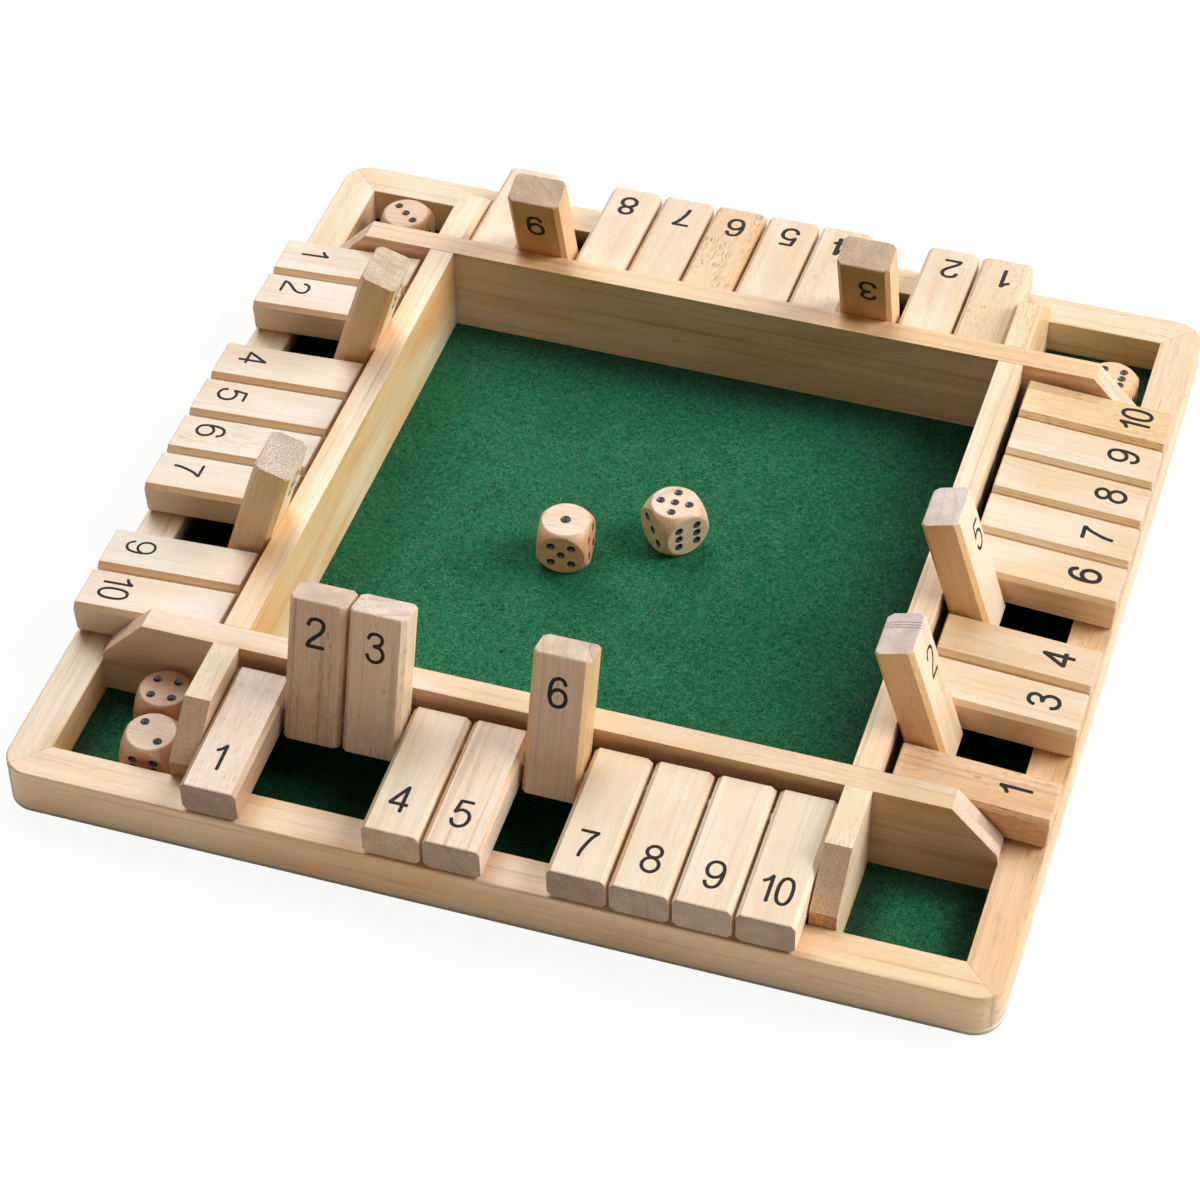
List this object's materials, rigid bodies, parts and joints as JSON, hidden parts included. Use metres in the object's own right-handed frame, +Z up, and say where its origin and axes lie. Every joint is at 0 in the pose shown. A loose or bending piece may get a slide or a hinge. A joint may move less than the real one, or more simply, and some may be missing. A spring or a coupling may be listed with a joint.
{
  "type": "shut the box game",
  "caption": "Square wooden dice game with a felt-lined tray, hinged numbered tiles along every side, felt-floored corner boxes and loose rounded dice.",
  "frame": {"origin": "centre of the underside of the base board, on the surface that the game rests on", "axes": "+X right along the front edge, +Y to the back, +Z up"},
  "size_m": [0.3, 0.3, 0.0643],
  "materials": {
    "rail_wood": "satin lacquer",
    "wall_wood": "satin lacquer",
    "tile_wood": "sanded, satin lacquer",
    "dice_wood": "tumbled, matte",
    "rod_steel": "drawn rod",
    "green_felt": "short napped felt",
    "base_board": "plain fibreboard",
    "number_ink": "printed ink"
  },
  "bodies": {
    "box": {"base_board": "base_board", "felt": "green_felt", "pivot_rods": "rod_steel", "dividers": "wall_wood", "rail_front": "rail_wood", "rail_right": "rail_wood", "rail_back": "rail_wood", "rail_left": "rail_wood", "wall_front": "wall_wood", "wall_right": "wall_wood", "wall_back": "wall_wood", "wall_left": "wall_wood"},
    "tile_front_1": {"tile_front_1": "tile_wood"},
    "tile_front_2": {"tile_front_2": "tile_wood"},
    "tile_front_3": {"tile_front_3": "tile_wood"},
    "tile_front_4": {"tile_front_4": "tile_wood"},
    "tile_front_5": {"tile_front_5": "tile_wood"},
    "tile_front_6": {"tile_front_6": "tile_wood"},
    "tile_front_7": {"tile_front_7": "tile_wood"},
    "tile_front_8": {"tile_front_8": "tile_wood"},
    "tile_front_9": {"tile_front_9": "tile_wood"},
    "tile_front_10": {"tile_front_10": "tile_wood"},
    "tile_right_1": {"tile_right_1": "tile_wood"},
    "tile_right_2": {"tile_right_2": "tile_wood"},
    "tile_right_3": {"tile_right_3": "tile_wood"},
    "tile_right_4": {"tile_right_4": "tile_wood"},
    "tile_right_5": {"tile_right_5": "tile_wood"},
    "tile_right_6": {"tile_right_6": "tile_wood"},
    "tile_right_7": {"tile_right_7": "tile_wood"},
    "tile_right_8": {"tile_right_8": "tile_wood"},
    "tile_right_9": {"tile_right_9": "tile_wood"},
    "tile_right_10": {"tile_right_10": "tile_wood"},
    "tile_back_1": {"tile_back_1": "tile_wood"},
    "tile_back_2": {"tile_back_2": "tile_wood"},
    "tile_back_3": {"tile_back_3": "tile_wood"},
    "tile_back_4": {"tile_back_4": "tile_wood"},
    "tile_back_5": {"tile_back_5": "tile_wood"},
    "tile_back_6": {"tile_back_6": "tile_wood"},
    "tile_back_7": {"tile_back_7": "tile_wood"},
    "tile_back_8": {"tile_back_8": "tile_wood"},
    "tile_back_9": {"tile_back_9": "tile_wood"},
    "tile_back_10": {"tile_back_10": "tile_wood"},
    "tile_left_1": {"tile_left_1": "tile_wood"},
    "tile_left_2": {"tile_left_2": "tile_wood"},
    "tile_left_3": {"tile_left_3": "tile_wood"},
    "tile_left_4": {"tile_left_4": "tile_wood"},
    "tile_left_5": {"tile_left_5": "tile_wood"},
    "tile_left_6": {"tile_left_6": "tile_wood"},
    "tile_left_7": {"tile_left_7": "tile_wood"},
    "tile_left_8": {"tile_left_8": "tile_wood"},
    "tile_left_9": {"tile_left_9": "tile_wood"},
    "tile_left_10": {"tile_left_10": "tile_wood"},
    "die_1": {"die_1": "dice_wood"},
    "die_2": {"die_2": "dice_wood"},
    "die_3": {"die_3": "dice_wood"},
    "die_4": {"die_4": "dice_wood"},
    "die_5": {"die_5": "dice_wood"},
    "die_6": {"die_6": "dice_wood"}
  },
  "joints": [
    {"name": "tile_front_1_hinge", "type": "hinge", "parent": "box", "child": "tile_front_1", "pos_m": [-0.0828, -0.10949, 0.02422], "axis": [-1, 0, 0], "range_deg": [0, 110.6]},
    {"name": "tile_front_2_hinge", "type": "hinge", "parent": "box", "child": "tile_front_2", "pos_m": [-0.0644, -0.10949, 0.02422], "axis": [-1, 0, 0], "range_deg": [-110.6, 0]},
    {"name": "tile_front_3_hinge", "type": "hinge", "parent": "box", "child": "tile_front_3", "pos_m": [-0.046, -0.10949, 0.02422], "axis": [-1, 0, 0], "range_deg": [-110.6, 0]},
    {"name": "tile_front_4_hinge", "type": "hinge", "parent": "box", "child": "tile_front_4", "pos_m": [-0.0276, -0.10949, 0.02422], "axis": [-1, 0, 0], "range_deg": [0, 110.6]},
    {"name": "tile_front_5_hinge", "type": "hinge", "parent": "box", "child": "tile_front_5", "pos_m": [-0.0092, -0.10949, 0.02422], "axis": [-1, 0, 0], "range_deg": [0, 110.6]},
    {"name": "tile_front_6_hinge", "type": "hinge", "parent": "box", "child": "tile_front_6", "pos_m": [0.0092, -0.10949, 0.02422], "axis": [-1, 0, 0], "range_deg": [-110.6, 0]},
    {"name": "tile_front_7_hinge", "type": "hinge", "parent": "box", "child": "tile_front_7", "pos_m": [0.0276, -0.10949, 0.02422], "axis": [-1, 0, 0], "range_deg": [0, 110.6]},
    {"name": "tile_front_8_hinge", "type": "hinge", "parent": "box", "child": "tile_front_8", "pos_m": [0.046, -0.10949, 0.02422], "axis": [-1, 0, 0], "range_deg": [0, 110.6]},
    {"name": "tile_front_9_hinge", "type": "hinge", "parent": "box", "child": "tile_front_9", "pos_m": [0.0644, -0.10949, 0.02422], "axis": [-1, 0, 0], "range_deg": [0, 110.6]},
    {"name": "tile_front_10_hinge", "type": "hinge", "parent": "box", "child": "tile_front_10", "pos_m": [0.0828, -0.10949, 0.02422], "axis": [-1, 0, 0], "range_deg": [0, 110.6]},
    {"name": "tile_right_1_hinge", "type": "hinge", "parent": "box", "child": "tile_right_1", "pos_m": [0.10949, -0.0828, 0.02422], "axis": [0, -1, 0], "range_deg": [0, 110.6]},
    {"name": "tile_right_2_hinge", "type": "hinge", "parent": "box", "child": "tile_right_2", "pos_m": [0.10949, -0.0644, 0.02422], "axis": [0, -1, 0], "range_deg": [-110.6, 0]},
    {"name": "tile_right_3_hinge", "type": "hinge", "parent": "box", "child": "tile_right_3", "pos_m": [0.10949, -0.046, 0.02422], "axis": [0, -1, 0], "range_deg": [0, 110.6]},
    {"name": "tile_right_4_hinge", "type": "hinge", "parent": "box", "child": "tile_right_4", "pos_m": [0.10949, -0.0276, 0.02422], "axis": [0, -1, 0], "range_deg": [0, 110.6]},
    {"name": "tile_right_5_hinge", "type": "hinge", "parent": "box", "child": "tile_right_5", "pos_m": [0.10949, -0.0092, 0.02422], "axis": [0, -1, 0], "range_deg": [-110.6, 0]},
    {"name": "tile_right_6_hinge", "type": "hinge", "parent": "box", "child": "tile_right_6", "pos_m": [0.10949, 0.0092, 0.02422], "axis": [0, -1, 0], "range_deg": [0, 110.6]},
    {"name": "tile_right_7_hinge", "type": "hinge", "parent": "box", "child": "tile_right_7", "pos_m": [0.10949, 0.0276, 0.02422], "axis": [0, -1, 0], "range_deg": [0, 110.6]},
    {"name": "tile_right_8_hinge", "type": "hinge", "parent": "box", "child": "tile_right_8", "pos_m": [0.10949, 0.046, 0.02422], "axis": [0, -1, 0], "range_deg": [0, 110.6]},
    {"name": "tile_right_9_hinge", "type": "hinge", "parent": "box", "child": "tile_right_9", "pos_m": [0.10949, 0.0644, 0.02422], "axis": [0, -1, 0], "range_deg": [0, 110.6]},
    {"name": "tile_right_10_hinge", "type": "hinge", "parent": "box", "child": "tile_right_10", "pos_m": [0.10949, 0.0828, 0.02422], "axis": [0, -1, 0], "range_deg": [0, 110.6]},
    {"name": "tile_back_1_hinge", "type": "hinge", "parent": "box", "child": "tile_back_1", "pos_m": [0.0828, 0.10949, 0.02422], "axis": [1, 0, 0], "range_deg": [0, 110.6]},
    {"name": "tile_back_2_hinge", "type": "hinge", "parent": "box", "child": "tile_back_2", "pos_m": [0.0644, 0.10949, 0.02422], "axis": [1, 0, 0], "range_deg": [0, 110.6]},
    {"name": "tile_back_3_hinge", "type": "hinge", "parent": "box", "child": "tile_back_3", "pos_m": [0.046, 0.10949, 0.02422], "axis": [1, 0, 0], "range_deg": [-110.6, 0]},
    {"name": "tile_back_4_hinge", "type": "hinge", "parent": "box", "child": "tile_back_4", "pos_m": [0.0276, 0.10949, 0.02422], "axis": [1, 0, 0], "range_deg": [0, 110.6]},
    {"name": "tile_back_5_hinge", "type": "hinge", "parent": "box", "child": "tile_back_5", "pos_m": [0.0092, 0.10949, 0.02422], "axis": [1, 0, 0], "range_deg": [0, 110.6]},
    {"name": "tile_back_6_hinge", "type": "hinge", "parent": "box", "child": "tile_back_6", "pos_m": [-0.0092, 0.10949, 0.02422], "axis": [1, 0, 0], "range_deg": [0, 110.6]},
    {"name": "tile_back_7_hinge", "type": "hinge", "parent": "box", "child": "tile_back_7", "pos_m": [-0.0276, 0.10949, 0.02422], "axis": [1, 0, 0], "range_deg": [0, 110.6]},
    {"name": "tile_back_8_hinge", "type": "hinge", "parent": "box", "child": "tile_back_8", "pos_m": [-0.046, 0.10949, 0.02422], "axis": [1, 0, 0], "range_deg": [0, 110.6]},
    {"name": "tile_back_9_hinge", "type": "hinge", "parent": "box", "child": "tile_back_9", "pos_m": [-0.0644, 0.10949, 0.02422], "axis": [1, 0, 0], "range_deg": [-110.6, 0]},
    {"name": "tile_back_10_hinge", "type": "hinge", "parent": "box", "child": "tile_back_10", "pos_m": [-0.0828, 0.10949, 0.02422], "axis": [1, 0, 0], "range_deg": [0, 110.6]},
    {"name": "tile_left_1_hinge", "type": "hinge", "parent": "box", "child": "tile_left_1", "pos_m": [-0.10949, 0.0828, 0.02422], "axis": [0, 1, 0], "range_deg": [0, 110.6]},
    {"name": "tile_left_2_hinge", "type": "hinge", "parent": "box", "child": "tile_left_2", "pos_m": [-0.10949, 0.0644, 0.02422], "axis": [0, 1, 0], "range_deg": [0, 110.6]},
    {"name": "tile_left_3_hinge", "type": "hinge", "parent": "box", "child": "tile_left_3", "pos_m": [-0.10949, 0.046, 0.02422], "axis": [0, 1, 0], "range_deg": [-110.6, 0]},
    {"name": "tile_left_4_hinge", "type": "hinge", "parent": "box", "child": "tile_left_4", "pos_m": [-0.10949, 0.0276, 0.02422], "axis": [0, 1, 0], "range_deg": [0, 110.6]},
    {"name": "tile_left_5_hinge", "type": "hinge", "parent": "box", "child": "tile_left_5", "pos_m": [-0.10949, 0.0092, 0.02422], "axis": [0, 1, 0], "range_deg": [0, 110.6]},
    {"name": "tile_left_6_hinge", "type": "hinge", "parent": "box", "child": "tile_left_6", "pos_m": [-0.10949, -0.0092, 0.02422], "axis": [0, 1, 0], "range_deg": [0, 110.6]},
    {"name": "tile_left_7_hinge", "type": "hinge", "parent": "box", "child": "tile_left_7", "pos_m": [-0.10949, -0.0276, 0.02422], "axis": [0, 1, 0], "range_deg": [0, 110.6]},
    {"name": "tile_left_8_hinge", "type": "hinge", "parent": "box", "child": "tile_left_8", "pos_m": [-0.10949, -0.046, 0.02422], "axis": [0, 1, 0], "range_deg": [-110.6, 0]},
    {"name": "tile_left_9_hinge", "type": "hinge", "parent": "box", "child": "tile_left_9", "pos_m": [-0.10949, -0.0644, 0.02422], "axis": [0, 1, 0], "range_deg": [0, 110.6]},
    {"name": "tile_left_10_hinge", "type": "hinge", "parent": "box", "child": "tile_left_10", "pos_m": [-0.10949, -0.0828, 0.02422], "axis": [0, 1, 0], "range_deg": [0, 110.6]},
    {"name": "die_1_lift", "type": "slide", "parent": "box", "child": "die_1", "axis": [0, 0, 1], "range_m": [0, 0.075]},
    {"name": "die_2_lift", "type": "slide", "parent": "box", "child": "die_2", "axis": [0, 0, 1], "range_m": [0, 0.075]},
    {"name": "die_3_lift", "type": "slide", "parent": "box", "child": "die_3", "axis": [0, 0, 1], "range_m": [0, 0.075]},
    {"name": "die_4_lift", "type": "slide", "parent": "box", "child": "die_4", "axis": [0, 0, 1], "range_m": [0, 0.075]},
    {"name": "die_5_lift", "type": "slide", "parent": "box", "child": "die_5", "axis": [0, 0, 1], "range_m": [0, 0.075]},
    {"name": "die_6_lift", "type": "slide", "parent": "box", "child": "die_6", "axis": [0, 0, 1], "range_m": [0, 0.075]}
  ]
}
